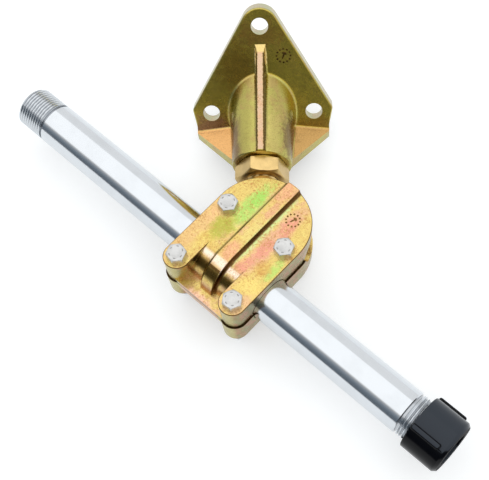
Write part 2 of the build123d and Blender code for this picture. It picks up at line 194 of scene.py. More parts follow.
# Columns of a hexagon piece, in degrees from the middle of a flat
SECTOR = np.array([-30, -29, -27.6, -22, -15, -7.5, 0, 7.5, 15, 22, 27.6, 29])


def hexagon_points(profile, flats, turn, origin, axis, side):
    """What turned() takes for a hexagon piece, from rows of (along, radius, 1 on hexagon rows).

    On hexagon rows the radius is the smaller of the turned one and flats / 2 / cos(angle from the
    flat's middle), which makes the curved edges of chamfered corners.
    """
    off = np.tile(np.radians(SECTOR), 6)
    angles = off + np.repeat(np.arange(6), len(SECTOR)) * pi / 3 + radians(turn + 30)
    corner = flats / 3**0.5
    sides = np.minimum(flats / 2 / np.cos(off), corner * 0.992)[None, :]
    along, radius = spread(profile, angles.size)
    on_hexagon = np.array(profile, dtype=float)[:, 2:3] > 0
    radius = np.where(on_hexagon, np.minimum(radius, sides), radius)
    return radius, along, angles, origin, axis, side


def corner_chamfer(flats, face_r, top, steps=9):
    """Rows of a hexagon's 30 degree corner chamfer, from the full corner up to the round face."""
    wide = flats / 3**0.5
    run = (wide - face_r) * tan(radians(30))
    return [(top + run * (t - 1), wide + (face_r - wide) * t, 1) for t in np.linspace(0, 1, steps)]


def beads(name, centres, first, second, normal, sizes):
    """Small ellipsoids half sunk in a surface, one for each centre.

    centre + first * a cos v cos w + second * b cos v sin w + normal * c sin v, with the half axes
    a, b and c in sizes. first and second may differ from bead to bead.
    """
    v = np.linspace(-pi / 2, pi / 2, 9)[1:-1]
    v, w = np.meshgrid(v, full_turn(16), indexing="ij")
    a = (sizes[0] * np.cos(v) * np.cos(w))[None, :, :, None]
    b = (sizes[1] * np.cos(v) * np.sin(w))[None, :, :, None]
    c = (sizes[2] * np.sin(v))[None, :, :, None]
    first, second, centres = (np.atleast_2d(x)[:, None, None, :] for x in (first, second, centres))
    return capped_mesh(name, centres + first * a + second * b + normal * c)


# Node helpers
def toned(colour, share):
    """A colour made darker or lighter by a share."""
    return tuple(share * c for c in colour)


class Nodes:
    """An emptied node tree, with a method for each kind of step that the finishes use.

    Lengths are in millimetres, and a value is a number, a tuple or another node's socket.
    """

    def __init__(self, tree):
        self.tree = tree
        tree.nodes.clear()

    def feed(self, node, inputs):
        """Gives a node's inputs their values or links."""
        for key, value in inputs.items():
            if isinstance(value, NodeSocket):
                self.tree.links.new(value, node.inputs[key])
            else:
                node.inputs[key].default_value = value

    def put(self, kind, inputs=None, **settings):
        """A node with its settings and inputs."""
        node = self.tree.nodes.new(kind)
        for key, value in settings.items():
            setattr(node, key, value)
        self.feed(node, inputs or {})
        return node

    def maths(self, operation, *values, **settings):
        """One step of arithmetic."""
        node = self.put("ShaderNodeMath", dict(enumerate(values)), operation=operation, **settings)
        return node.outputs[0]

    def times(self, first, *others):
        """The product of several values, such as the place where all of several masks meet."""
        for other in others:
            first = self.maths("MULTIPLY", first, other)
        return first

    def plus(self, first, other, **settings):
        """The sum of two values."""
        return self.maths("ADD", first, other, **settings)

    def minus(self, first, other):
        """The first value less the other."""
        return self.maths("SUBTRACT", first, other)

    def size_of(self, value):
        """A value without its sign."""
        return self.maths("ABSOLUTE", value)

    def vector(self, operation, *values, out=0):
        """One step of vector arithmetic."""
        node = self.put("ShaderNodeVectorMath", dict(enumerate(values)), operation=operation)
        return node.outputs[out]

    def along(self, point, axis):
        """How far a point or a direction reaches along an axis."""
        return self.vector("DOT_PRODUCT", point, tuple(axis), out="Value")

    def parts(self, point):
        """The X, Y and Z of a point, by name."""
        return self.put("ShaderNodeSeparateXYZ", {0: point}).outputs

    def local_point(self, origin, axes=None):
        """Object coordinates in millimetres from an origin, along the given axes."""
        point = self.put("ShaderNodeTexCoord").outputs["Object"]
        point = self.vector("SUBTRACT", point, tuple(origin))
        point = self.vector("MULTIPLY", point, (1 / MM,) * 3)
        if axes is None:
            return point
        reaches = {k: self.along(point, axis) for k, axis in enumerate(axes)}
        return self.put("ShaderNodeCombineXYZ", reaches).outputs[0]

    def from_axis(self, point):
        """Distance of a point from the X axis."""
        return self.vector("LENGTH", self.vector("MULTIPLY", point, (0, 1, 1)), out="Value")

    def noise(self, point, size, detail=3.0, roughness=0.5, distortion=0.0, offset=(0, 0, 0)):
        """Noise with features about size millimetres across."""
        inputs = {
            "Vector": self.vector("ADD", point, offset), "Scale": 1.0 / size, "Detail": detail,
            "Roughness": roughness, "Distortion": distortion,
        }
        return self.put("ShaderNodeTexNoise", inputs).outputs["Fac"]

    def band(self, value, low, high, *fall):
        """0 at low and before it, 1 at high and past it, smooth between.

        Where fall holds two more values, it goes back from 1 at the first to 0 at the second.
        """
        inputs = {"Value": value, "From Min": low, "From Max": high}
        node = self.put("ShaderNodeMapRange", inputs, interpolation_type="SMOOTHSTEP")
        rise = node.outputs["Result"]
        return self.times(rise, self.band(value, *reversed(fall))) if fall else rise

    def facing(self, direction, *cosines):
        """How far the surface faces a direction, as a band of its cosine."""
        normal = self.put("ShaderNodeTexCoord").outputs["Normal"]
        return self.band(self.along(normal, direction), *cosines)

    def ramp(self, factor, stops):
        """A colour ramp with the given (position, colour or grey) stops."""
        node = self.put("ShaderNodeValToRGB", {"Fac": factor})
        elements = node.color_ramp.elements
        while len(elements) < len(stops):
            elements.new(0.5)
        for element, (place, colour) in zip(elements, stops):
            colour = colour if isinstance(colour, tuple) else (colour,) * 3
            element.position, element.color = place, (*colour, 1.0)
        return node.outputs["Color"]

    def mix(self, factor, first, second, blend="MIX"):
        """Mixes two colours by a factor."""
        first, second = (c if isinstance(c, NodeSocket) else (*c, 1.0) for c in (first, second))
        inputs = {0: factor, 6: first, 7: second}
        return self.put("ShaderNodeMix", inputs, data_type="RGBA", blend_type=blend).outputs[2]

    def tint(self, colour, over, *masks):
        """Lays one colour over another where all the masks meet."""
        return self.mix(self.times(*masks), colour, over)

    def shade(self, colour, factor, stops):
        """Darkens a colour by the greys of a ramp."""
        return self.mix(1.0, colour, self.ramp(factor, stops), blend="MULTIPLY")


class Finish(Nodes):
    """A material's nodes: its output and its Principled shader, which dress() feeds."""

    def __init__(self, name, metallic=0.0):
        self.material = bpy.data.materials.new(name)
        self.material.use_nodes = True
        super().__init__(self.material.node_tree)
        self.shader = self.put("ShaderNodeBsdfPrincipled", {"Metallic": metallic})
        self.put("ShaderNodeOutputMaterial", {"Surface": self.shader.outputs["BSDF"]})

    def dress(self, colour, gloss, height, strength, distance):
        """Feeds the shader its colour, roughness and bump, and gives the finished material."""
        bump = {"Height": height, "Strength": strength, "Distance": distance}
        normal = self.put("ShaderNodeBump", bump).outputs["Normal"]
        self.feed(self.shader, {"Base Color": colour, "Roughness": gloss, "Normal": normal})
        return self.material


# Node groups
def new_group(name, inputs, outputs):
    """Starts a node group from (name, type, default) inputs and the names of its outputs.

    Gives its nodes and the sockets that its inputs come in by.
    """
    group = bpy.data.node_groups.new(name, "ShaderNodeTree")
    for label, kind, default in inputs:
        kind = "NodeSocket" + kind
        socket = group.interface.new_socket(name=label, in_out="INPUT", socket_type=kind)
        if default is not None:
            socket.default_value = default
    for label in outputs:
        group.interface.new_socket(name=label, in_out="OUTPUT", socket_type="NodeSocketFloat")
    return Nodes(group), group.nodes.new("NodeGroupInput").outputs


def cast_skin():
    """Node group: sand-cast skin, as a height, fine dark pits and a light and dark pepper."""
    name = "Cast skin"
    if name in bpy.data.node_groups:
        return bpy.data.node_groups[name]
    inputs = [("Point", "Vector", None), ("Pit strength", "Float", 0.5)]
    n, given = new_group(name, inputs, ["Height", "Pits", "Pepper"])
    point = given["Point"]
    coarse = n.noise(point, 2.6, roughness=0.55)
    fine = n.noise(point, 0.5, detail=2.0, roughness=0.6, offset=(7, 3, 5))
    spots = n.noise(point, 0.95, roughness=0.7, offset=(31, 17, 9))
    where = n.noise(point, 9.0, detail=2.0, offset=(3, 19, 47))
    pits = n.band(n.plus(spots, n.times(where, 0.45)), 0.79, 0.90)
    n.put("NodeGroupOutput", {
        "Height": n.plus(n.times(coarse, 0.6), n.times(fine, 0.5)),
        "Pits": n.times(pits, given["Pit strength"]),
        "Pepper": n.noise(point, 0.42, detail=2.0, roughness=0.8, offset=(13, 5, 41)),
    })
    return n.tree


def plating_patch():
    """Node group: a soft ragged patch of plating tint, as a mask.

    It fades from 1 to 0 as the distance from the centre, measured in reaches and roughened by
    noise, goes from 0.45 to 1.15.
    """
    name = "Plating patch"
    if name in bpy.data.node_groups:
        return bpy.data.node_groups[name]
    inputs = [
        ("Point", "Vector", None), ("Centre", "Vector", (0, 0, 0)), ("Reach", "Vector", (10, 10, 10)),
        ("Ragged", "Float", 0.5), ("Strength", "Float", 1.0),
    ]
    n, given = new_group(name, inputs, ["Mask"])
    away = n.vector("SUBTRACT", given["Point"], given["Centre"])
    far = n.vector("LENGTH", n.vector("DIVIDE", away, given["Reach"]), out="Value")
    rough = n.noise(given["Point"], 3.2, detail=4.0, roughness=0.65, distortion=0.4)
    far = n.plus(far, n.times(n.minus(rough, 0.5), 3.0, given["Ragged"]))
    n.put("NodeGroupOutput", {"Mask": n.times(n.band(far, 1.15, 0.45), given["Strength"])})
    return n.tree


def add_patches(f, point, colour, patches):
    """Lays tints over a colour; a patch is (centre, reach, ragged, strength, tint)."""
    keys = ("Point", "Centre", "Reach", "Ragged", "Strength")
    for *shape, over in patches:
        inputs = dict(zip(keys, (point, *shape)))
        mask = f.put("ShaderNodeGroup", inputs, node_tree=plating_patch()).outputs["Mask"]
        colour = f.tint(colour, over, mask)
    return colour


def dress_casting(f, point, colour, rough, pit, pit_colour, bump):
    """Gives a plated casting's colour its pepper and pits, and adds the gloss and the grain."""
    inputs = {"Point": point, "Pit strength": pit}
    skin = f.put("ShaderNodeGroup", inputs, node_tree=cast_skin()).outputs
    colour = f.shade(colour, skin["Pepper"], [(0.30, 0.70), (0.50, 0.98), (0.72, 1.0)])
    colour = f.tint(colour, pit_colour, skin["Pits"])
    gloss = f.plus(rough, f.times(f.noise(point, 4.0), 0.16))
    return f.dress(colour, gloss, skin["Height"], bump, 0.0002)


# Materials
def clamp_plating(colours):
    """Yellow passivation on the clamp halves: yellow, with salmon and green patches."""
    f = Finish("Clamp plating", metallic=1.0)
    point = f.local_point(CLAMP_AT)
    gold, salmon, green, wall = map(tuple, (colours.gold, colours.salmon, colours.green, colours.wall))
    pale, rose = (0.76, 0.50, 0.22), (0.76, 0.33, 0.23)
    drift = f.noise(point, 8.0, detail=4.0, roughness=0.62, distortion=0.8, offset=(17, 29, 11))
    colour = f.mix(f.band(drift, 0.48, 0.64), gold, (0.74, 0.48, 0.24))
    # a patch reaches far up and down, so its place in the plan is what counts
    colour = add_patches(f, point, colour, [
        ((-26, 0, 17), (9, 34, 60), 0.45, 0.9, pale),
        ((-16, -2, 17), (5, 6, 60), 0.5, 0.7, (0.74, 0.56, 0.14)),
        ((-22, 36, 17), (10, 14, 60), 0.45, 0.9, gold),
        ((-15, 46, 17), (10, 7, 60), 0.5, 0.7, (0.66, 0.50, 0.14)),
        ((-21, 12, 17), (6, 7, 60), 0.5, 0.8, (0.80, 0.50, 0.24)),
        ((-10.5, 29, 17), (6, 20, 60), 0.35, 1.0, green),
        ((-10.5, 34, 17), (3.5, 9, 60), 0.3, 0.8, (0.36, 0.66, 0.13)),
        ((-14, 10, 17), (7, 10, 60), 0.5, 0.9, (0.44, 0.44, 0.07)),
        ((-8, -8, 17), (7, 8, 60), 0.6, 0.7, (0.68, 0.46, 0.14)),
        ((-1, 46, 20), (6, 10, 60), 0.4, 0.9, (0.80, 0.42, 0.24)),
        ((1.5, 33, 20), (2.8, 9, 60), 0.5, 0.7, salmon),
        ((2, 17, 20), (5, 10, 60), 0.4, 0.8, (0.76, 0.62, 0.22)),
        ((1, 1, 20), (5, 8, 60), 0.4, 0.9, (0.80, 0.42, 0.24)),
        # a painted highlight: the light green stripe along the fillet right of the rib
        ((5.8, 22, 17), (2.6, 32, 60), 0.35, 0.95, (0.62, 0.74, 0.30)),
        ((13, 19, 17), (6.2, 32, 60), 0.40, 1.0, (0.76, 0.44, 0.27)),
        ((14, 32, 17), (4.5, 9, 60), 0.45, 0.9, rose),
        ((12.5, 14, 17), (4.5, 9, 60), 0.45, 0.9, rose),
        ((10.5, 0, 17), (4.5, 7, 60), 0.45, 0.9, rose),
        ((22, 36, 17), (6, 11, 60), 0.4, 0.9, gold),
        ((24.5, 8, 17), (3.4, 9, 60), 0.4, 0.8, green),
        ((19.5, 5, 17), (5, 6, 60), 0.5, 0.7, (0.64, 0.38, 0.10)),
        ((21, -7, 17), (8, 6, 60), 0.4, 0.9, (0.82, 0.64, 0.20)),
        ((22, -19, 17), (9, 7, 60), 0.5, 0.8, (0.80, 0.50, 0.28)),
        ((0, -28, 8), (14, 6, 60), 0.35, 1.0, (0.88, 0.54, 0.40)),
    ])
    mottle = f.noise(point, 2.4, detail=4.0, roughness=0.72, distortion=0.5, offset=(41, 5, 13))
    colour = f.tint(colour, (0.90, 0.76, 0.26), f.band(mottle, 0.52, 0.64), 0.35)
    colour = f.tint(colour, (0.62, 0.36, 0.12), f.band(mottle, 0.46, 0.34), 0.35)
    fleck = f.noise(point, 1.3, detail=4.0, roughness=0.8, offset=(2, 51, 7))
    rusty = f.noise(point, 9.0, detail=2.0, offset=(23, 1, 3))
    fleck = f.plus(fleck, f.times(rusty, 0.3))
    colour = f.tint(colour, (0.50, 0.25, 0.08), f.band(fleck, 0.68, 0.80), 0.8)
    x, y, height = f.parts(point)
    # the walls: a darker colour on the upright faces, partly the plating's tint and partly painted
    # shade, painted light on the faces towards the front, and a pinkish front between the lugs
    stain = f.noise(point, 5.0, detail=4.0, roughness=0.6, offset=(5, 61, 2))
    blush = f.noise(point, 6.0, roughness=0.6, offset=(55, 13, 22))
    wall = f.mix(f.band(stain, 0.42, 0.62), wall, (0.32, 0.31, 0.13))
    wall = f.tint(wall, (0.44, 0.24, 0.12), f.band(blush, 0.48, 0.62))
    # painted light: the walls that face the front are lighter
    wall = f.tint(wall, (0.50, 0.44, 0.16), f.facing(-ACROSS, 0.6, 0.9))
    front = f.band(f.size_of(x), 15.0, 13.0)
    wall = f.tint(wall, (0.66, 0.42, 0.27), front, f.facing(-ACROSS, 0.5, 0.8))
    # the upright faces take the wall colour, which is partly painted shade
    colour = f.tint(colour, wall, f.facing(UP, 0.55, 0.25))
    # the dark joint line, and a painted shadow line along the edge round the top
    top = CLAMP_TOP / MM
    colour = f.tint(colour, (0.05, 0.03, 0.01), f.band(f.size_of(height), 0.44, 0.34))
    # painted shade: a dark line on the top's rounded edge
    rim = f.band(height, top - 1.0, top - 0.7, top, top + 0.2)
    colour = f.tint(colour, (0.17, 0.09, 0.03), f.facing(UP, 0.05, 0.30, 0.90, 0.985), rim)
    # the barrel in the notch: painted reflections, a painted dark band low down and a painted highlight
    # on the crown above it
    barrel = f.times(f.band(f.size_of(x), 12.9, 12.5), f.band(y, -4, -6))
    # painted shade: a dark band low on the barrel
    painted_dark_band = f.facing(-ACROSS, 0.50, 0.62, 0.74, 0.86)
    colour = f.tint(colour, (0.16, 0.095, 0.02), barrel, painted_dark_band)
    # painted highlight along the barrel's crown
    crown = f.facing(-ACROSS, 0.04, 0.18, 0.40, 0.52)
    colour = f.tint(colour, (1.0, 0.80, 0.62), barrel, crown)
    # the rib's two flanks: painted shade on the right flank, and a greenish tint on the left
    for side, over in ((1.0, (0.13, 0.065, 0.02)), (-1.0, (0.32, 0.27, 0.08))):
        out = f.times(x, side)
        on_flank = f.band(out, 3.8, 4.0, 6.2, 6.8)
        colour = f.tint(colour, over, on_flank, f.facing(ALONG * side, 0.25, 0.60))
    return dress_casting(f, point, colour, 0.20, 0.45, (0.34, 0.17, 0.05), 0.5)


def bracket_plating(colours):
    """Yellow passivation on the mounting bracket: olive flange, green-gold boss, peach rib and webs."""
    f = Finish("Bracket plating", metallic=1.0)
    point = f.local_point(BALL_AT, (SIDE_DIR, UP, BOSS_DIR))
    x, height, _ = f.parts(point)
    aside = f.size_of(x)
    # depth into the metal from the flange's front face
    deep = f.along(f.local_point(FACE_POINT), FLANGE_OUT)
    olive, peach, green = map(tuple, (colours.olive, colours.peach, colours.boss))
    drift = f.noise(point, 9.0, detail=4.0, roughness=0.62, distortion=0.8, offset=(17, 29, 11))
    stain = f.noise(point, 7.0, detail=4.0, roughness=0.6, offset=(5, 61, 2))
    colour = f.mix(f.band(drift, 0.44, 0.62), green, (0.50, 0.38, 0.13))
    colour = add_patches(f, point, colour, [
        ((-14, 8, 56), (8, 12, 18), 0.5, 0.95, (0.22, 0.14, 0.07)),
        ((-9, 14, 58), (5, 8, 16), 0.5, 0.8, green),
        ((7, 14, 58), (5, 8, 18), 0.5, 0.8, (0.62, 0.52, 0.17)),
        ((15, 6, 60), (7, 10, 16), 0.5, 0.95, (0.22, 0.15, 0.065)),
    ])
    # the flange's front face and its rim
    face = f.mix(f.band(stain, 0.42, 0.64), olive, (0.56, 0.40, 0.065))
    face = add_patches(f, point, face, [
        ((-14, 26, 80), (16, 20, 40), 0.4, 0.85, (0.36, 0.21, 0.03)),
        ((-30, -8, 76), (13, 9, 40), 0.4, 0.8, (0.44, 0.20, 0.12)),
        ((30, -8, 76), (13, 8, 40), 0.4, 0.8, (0.44, 0.22, 0.03)),
        ((22, 10, 76), (14, 18, 40), 0.4, 0.7, (0.60, 0.46, 0.065)),
        ((0, 40, 90), (18, 9, 40), 0.5, 0.7, (0.46, 0.24, 0.05)),
    ])
    colour = f.tint(colour, face, f.facing(-FLANGE_OUT, 0.90, 0.97))
    rim = f.mix(f.band(stain, 0.42, 0.60), (0.50, 0.42, 0.26), (0.44, 0.44, 0.24))
    colour = f.tint(colour, rim, f.band(deep, 0.2, 0.6))
    # the webs' tops, darker on the right
    right = f.times(f.band(x, 4.0, 14.0), 0.6)
    web = f.mix(right, (0.72, 0.40, 0.155), (0.40, 0.26, 0.08))
    colour = f.tint(colour, web, f.facing(UP, 0.80, 0.95), f.band(height, -3.0, -5.0))
    # the rib: painted shade on its flanks and along the ragged edges of its crest, beside a peach crest
    ragged = f.times(f.noise(point, 1.1, detail=4.0, roughness=0.7, offset=(3, 8, 1)), 1.6)
    inward = f.minus(f.plus(aside, ragged), 0.8)
    inward = f.minus(inward, f.times(f.band(x, 0.2, -0.2), 0.3))
    on_rib = f.times(f.band(aside, 5.0, 4.2), f.band(height, 17.4, 18.0), f.band(deep, 0.1, -0.6))
    # painted shade on the rib's flanks
    colour = f.tint(colour, (0.24, 0.19, 0.05), f.facing(UP, 0.60, 0.20), on_rib)
    # painted shadow along the ragged edges of the crest
    edge = f.times(f.band(inward, 1.15, 1.55), f.band(aside, 3.4, 2.6))
    colour = f.tint(colour, (0.13, 0.075, 0.02), edge, on_rib)
    crest = f.mix(f.band(drift, 0.45, 0.6), peach, (0.70, 0.44, 0.26))
    colour = f.tint(colour, crest, on_rib, f.band(inward, 1.5, 1.1), f.facing(UP, 0.88, 0.94))
    # its bright end against the flange
    rib_end = f.band(deep, -3.4, -2.2, -0.12, -0.02)
    near_rib = f.times(f.band(aside, 6.0, 5.5), f.band(height, 24.0, 26.0))
    colour = f.tint(colour, (0.80, 0.60, 0.24), rib_end, near_rib)
    # painted shade: the faces that look down are darker and greyer
    colour = f.tint(colour, (0.20, 0.18, 0.11), f.facing(-UP, 0.25, 0.65))
    return dress_casting(f, point, colour, 0.18, 0.35, (0.20, 0.12, 0.04), 0.4)


def steel(name, origin, colour, second, rough, clouding, grain, bump, side=1.0):
    """Machined or cold-formed steel: drifting tone, fine grain in the gloss and the shape.

    side is the share of its tone that a face keeps where it doesn't face up, which paints shade on such
    faces.
    """
    f = Finish(name, metallic=1.0)
    point = f.local_point(origin)
    clouds = f.noise(point, clouding, roughness=0.6)
    fine = f.noise(point, grain, roughness=0.65, offset=(9, 2, 4))
    tone = f.mix(f.band(clouds, 0.38, 0.66), colour, second)
    tone = f.shade(tone, fine, [(0.3, 0.86), (0.7, 1.0)])
    # painted shade on the faces that don't face up
    if side < 1.0:
        tone = f.shade(tone, f.facing(UP, 0.70, 0.95), [(0.0, side), (1.0, 1.0)])
    return f.dress(tone, f.plus(rough, f.times(fine, 0.12)), fine, bump, 0.0001)


def polished_steel(s, rough):
    """Polished tube: fine rings round the axis in the gloss, and painted shade in the thread grooves at
    its ends.
    """
    f = Finish("Polished tube", metallic=1.0)
    colour = tuple(s.colour)
    point = f.local_point(CLAMP_AT)
    axial = f.parts(point)["X"]
    rings = f.noise(f.put("ShaderNodeCombineXYZ", {0: axial}).outputs[0], 0.35, roughness=0.7)
    stains = f.noise(point, 14.0, roughness=0.6)
    tone = f.mix(f.band(stains, 0.4, 0.75), colour, toned(colour, 0.95))
    middle = (s.left_shoulder + s.right_shoulder) / 2 / MM
    half = (s.right_shoulder - s.left_shoulder) / 2 / MM
    threaded = f.band(f.size_of(f.minus(axial, middle)), half - 0.4, half)
    crest, root = s.thread_radius / MM - 0.15, s.relief_radius / MM + 0.2
    groove = f.band(f.from_axis(point), crest, root)
    # painted shade in the thread grooves
    tone = f.tint(tone, (0.24, 0.25, 0.27), threaded, groove, 0.5)
    gloss = f.plus(f.plus(rough, f.times(rings, 0.03)), f.times(threaded, 0.07))
    return f.dress(tone, gloss, rings, 0.02, 0.00005)


def moulded(name, colour, crown, rough, specular):
    """Moulded plastic or rubber with a faint flow texture, greyer where it faces up, as painted light.

    Its grip ribs' sides stay dark as painted shade, and it is dull in its hole and on its far face.
    """
    f = Finish(name)
    point = f.local_point(CLAMP_AT)
    flow = f.noise(point, 5.0, detail=2.0)
    tone = f.mix(flow, colour, toned(colour, 1.5))
    # how far out the ribs' sides and the hole lie, in millimetres from the tube's axis
    out = f.from_axis(point)
    rib_side, hole = f.band(out, 15.25, 15.5, 16.7, 17.0), f.band(out, 9.6, 9.1)
    # painted light on the side that faces up and forward, kept off the ribs' sides
    lit = f.facing(UP + 0.36 * ACROSS, 0.57, 0.64)
    tone = f.tint(tone, crown, lit, f.minus(1.0, rib_side))
    gloss = f.plus(rough, f.times(flow, 0.06))
    gloss = f.plus(gloss, f.times(hole, 0.6), use_clamp=True)
    gloss = f.plus(gloss, f.times(f.facing(ALONG, 0.90, 0.97), 0.5), use_clamp=True)
    f.feed(f.shader, {"Specular IOR Level": specular})
    return f.dress(tone, gloss, flow, 0.05, 0.0002)


def paint_node(name, material):
    """Gives a CAD node its material."""
    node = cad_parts[name]
    node.data.materials.clear()
    node.data.materials.append(material)


# Property groups
def length_setting(name, description, default):
    """A size in metres."""
    return FloatProperty(
        name=name, description=description, default=default, unit="LENGTH", precision=5
    )


def colour_setting(name, description, default):
    """A colour."""
    return FloatVectorProperty(
        name=name, description=description, default=default, subtype="COLOR", min=0, max=1
    )


class TubeSettings(PropertyGroup):
    radius: length_setting("Tube radius", "Outside radius of the steering tube", 0.0125)
    bore: length_setting("Bore radius", "Inside radius of the steering tube", 0.0083)
    thread_radius: length_setting("Thread radius", "Crest radius of the end threads", 0.01225)
    thread_depth: length_setting("Thread depth", "Depth of the thread's groove", 0.00105)
    relief_radius: length_setting("Relief radius", "Radius of the grooves beside the threads", 0.0112)
    pitch: length_setting("Thread pitch", "Distance between thread crests", 0.001814)
    left_shoulder: length_setting("Left shoulder", "Where the plain tube starts, from the clamp", -0.142)
    right_shoulder: length_setting("Right shoulder", "Where the plain tube ends, from the clamp", 0.1225)
    thread_length: length_setting("Thread length", "Length of each threaded end", 0.020)
    relief_length: length_setting("Relief length", "Width of the turned grooves", 0.0014)
    colour: colour_setting("Tube colour", "Colour of the polished steel", (0.665, 0.695, 0.725))
    steps: IntProperty(name="Steps round", description="Faces round the tube", default=160, min=24)


class NutSettings(PropertyGroup):
    near: length_setting("Near end", "Where the seal nut starts, along X from the clamp", 0.129)
    length: length_setting("Length", "Length of the seal nut", 0.0215)
    radius: length_setting("Radius", "Body radius of the seal nut", 0.0152)
    end_radius: length_setting("End radius", "Radius of the far face, inside its chamfer", 0.0138)
    end_chamfer: length_setting("End chamfer", "Length of the chamfer at the far face", 0.0019)
    bore: length_setting("Bore radius", "Radius of the hollow over the tube's thread", 0.0123)
    mouth: length_setting("Mouth radius", "Radius of the hole in the far face", 0.0086)
    floor: length_setting("Floor", "Thickness of the far wall", 0.0046)
    rib_radius: length_setting("Rib radius", "Radius over the grip ribs", 0.0172)
    rib_width: length_setting("Rib width", "Width of a grip rib", 0.0034)
    rib_length: length_setting("Rib length", "Length of a grip rib", 0.017)
    rib_turn: FloatProperty(
        name="Rib turn", description="Angle of the first grip rib from upright",
        default=radians(29.4), subtype="ANGLE",
    )
    colour: colour_setting("Nut colour", "Colour of the black plastic", (0.001, 0.001, 0.002))
    # crown is painted light: the nut's colour on its upper side
    crown: colour_setting("Nut crown", "Its colour where it faces up", (0.036, 0.043, 0.054))


class StudSettings(PropertyGroup):
    ball: length_setting("Ball radius", "Radius of the ball in the clamp", 0.0105)
    neck: length_setting("Neck radius", "Radius of the neck behind the ball", 0.007)
    neck_end: length_setting("Neck end", "Where the neck starts to widen, from the ball", 0.0286)
    thread_start: length_setting("Thread start", "Where the thread starts, from the ball", 0.031)
    shank_end: length_setting("Shank end", "End of the thread in the boss, from the ball", 0.073)
    shank: length_setting("Shank radius", "Crest radius of the thread", 0.009)
    pitch: length_setting("Stud pitch", "Distance between thread crests", 0.0025)
    nut_flats: length_setting("Nut flats", "Width of the lock nut over its flats", 0.027)
    nut_length: length_setting("Nut length", "Length of the lock nut", 0.0104)
    nut_face: length_setting("Nut face", "Radius of the lock nut's round faces", 0.0129)
    colour: colour_setting("Plated steel", "Colour of the plated stud and nut", (0.80, 0.57, 0.24))


class FastenerSettings(PropertyGroup):
    flats: length_setting("Flats", "Width of heads and nuts over their flats", 0.010)
    head: length_setting("Head height", "Height of a bolt head", 0.004)
    nut: length_setting("Nut height", "Height of a nut", 0.005)
    radius: length_setting("Bolt radius", "Radius of a bolt's shank", 0.003)
    past: length_setting("Past the nut", "How far a bolt's end stands past its nut", 0.005)
    colour: colour_setting("Stainless", "Colour of the clamp's bolts and nuts", (0.64, 0.64, 0.63))


class PlatingSettings(PropertyGroup):
    gold: colour_setting("Gold", "Main colour of the plated clamp", (0.74, 0.56, 0.18))
    salmon: colour_setting("Salmon", "Colour of the clamp's warm patches", (0.74, 0.38, 0.24))
    green: colour_setting("Green", "Colour of the clamp's green patches", (0.44, 0.66, 0.16))
    # the wall colour is partly painted shade
    wall: colour_setting("Wall", "Colour of the clamp's upright faces", (0.34, 0.24, 0.09))
    olive: colour_setting("Olive", "Colour of the flange", (0.52, 0.39, 0.055))
    boss: colour_setting("Boss", "Colour of the boss", (0.50, 0.45, 0.125))
    peach: colour_setting("Peach", "Colour of the bracket's rib", (0.66, 0.46, 0.30))


class StageSettings(PropertyGroup):
    lens: FloatProperty(name="Lens", description="Focal length for a 36 mm picture", default=75.87)
    floor: length_setting("Floor", "Height of the floor in the part's frame", -0.0385)
    softbox: FloatProperty(
        name="Softbox", description="Power of the overhead softbox", default=7.2, unit="POWER"
    )


SETTINGS = {
    "bracket_tube": TubeSettings,
    "bracket_nut": NutSettings,
    "bracket_stud": StudSettings,
    "bracket_fastener": FastenerSettings,
    "bracket_plating": PlatingSettings,
    "bracket_stage": StageSettings,
}


# Operators
class BRACKET_OT_castings(Operator):
    """Plates the bracket and the clamp halves, and adds the bracket's cast rib and the cast marks"""

    bl_idname = "bracket.castings"
    bl_label = "Castings"

    def execute(self, context):
        colours = context.scene.bracket_plating
        clamp = clamp_plating(colours)
        bracket = bracket_plating(colours)
        paint_node("clamp_upper_half", clamp)
        paint_node("clamp_lower_half", clamp)
        paint_node("mounting_bracket", bracket)
        add_piece(rib_mesh(), "bracket", bracket, smooth_angle=50)
        # dark colours for the raised cast marks on the clamp and the flange
        toned_finish = steel(
            "Dark cast mark", CLAMP_AT, (0.20, 0.11, 0.03), (0.30, 0.18, 0.05),
            rough=0.40, clouding=3.0, grain=0.5, bump=0.3,
        )
        dull = steel(
            "Dull cast mark", FACE_POINT, (0.06, 0.035, 0.01), (0.14, 0.08, 0.02),
            rough=0.45, clouding=3.0, grain=0.5, bump=0.3,
        )
        x, y, radius = CLAMP_RING
        place = CLAMP_AT + ALONG * x + ACROSS * y + UP * CLAMP_TOP
        cast_ring("clamp", place, ALONG, ACROSS, UP, radius, toned_finish, "clamp")
        x, y, radius = FLANGE_RING
        place = FACE_POINT + SIDE_DIR * x + FLANGE_UP * y
        cast_ring("flange", place, SIDE_DIR, FLANGE_UP, -FLANGE_OUT, radius, dull, "bracket")
        return {"FINISHED"}


def joined(first, second):
    """Two runs of points across the rib, with one more point halfway between them."""
    return np.hstack([first, (first[:, -1:] + second[:, :1]) / 2, second])


